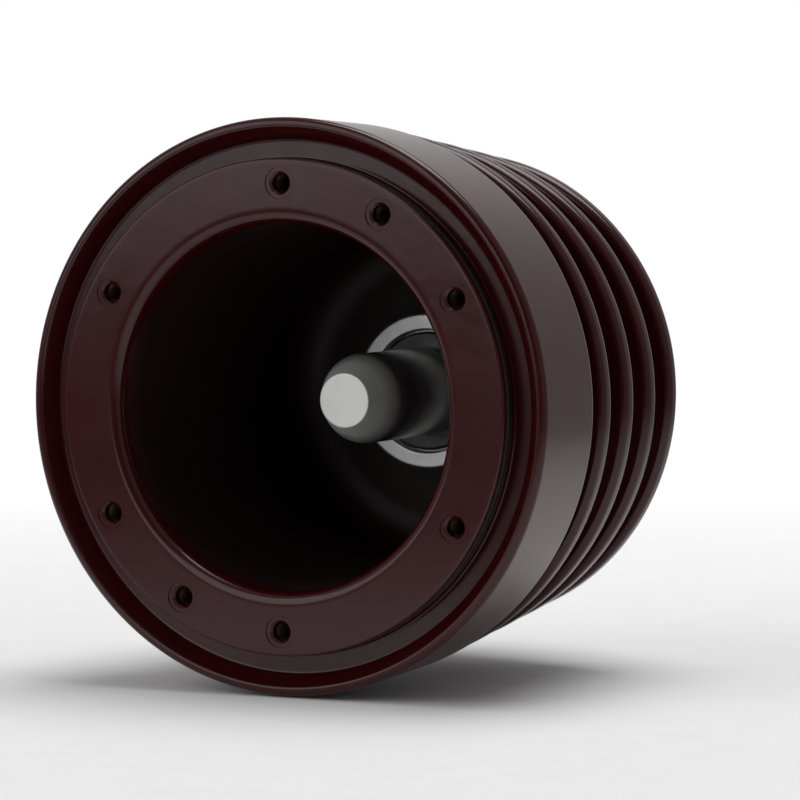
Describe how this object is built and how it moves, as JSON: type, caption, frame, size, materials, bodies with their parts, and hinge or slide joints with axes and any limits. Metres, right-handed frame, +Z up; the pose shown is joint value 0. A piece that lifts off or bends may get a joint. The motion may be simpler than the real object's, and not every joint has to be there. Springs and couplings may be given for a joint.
{
  "type": "bushing insulator",
  "caption": "Ribbed cast-resin bushing insulator with an open contact cavity, a domed head with a round metal terminal, and a flange boss with threaded inserts.",
  "frame": {"origin": "centre of the flange boss's mounting face, which is bolted to an upright wall", "axes": "+Y along the axis of the casting from the cavity mouth to the terminal; +Z up, through one of the six flange screws"},
  "size_m": [0.1498, 0.1355, 0.1498],
  "materials": {
    "cast_resin": "gloss",
    "aluminium_terminal": "satin",
    "bronze_bush": "satin",
    "bare_copper": "satin",
    "silvered_copper": "satin",
    "dark_steel": "satin",
    "brass_insert": "satin",
    "black_rubber": "matte"
  },
  "bodies": {
    "root": {"insulator_body": "cast_resin", "terminal_disc": "aluminium_terminal", "terminal_bush": "bronze_bush", "conductor_rod": "bare_copper", "contact_collar": "silvered_copper", "contact_washer": "dark_steel", "spring_washer": "dark_steel", "contact_pin": "silvered_copper", "contact_stud": "dark_steel", "mounting_inserts": "brass_insert", "spare_inserts": "brass_insert", "seal_ring": "black_rubber"}
  },
  "joints": []
}
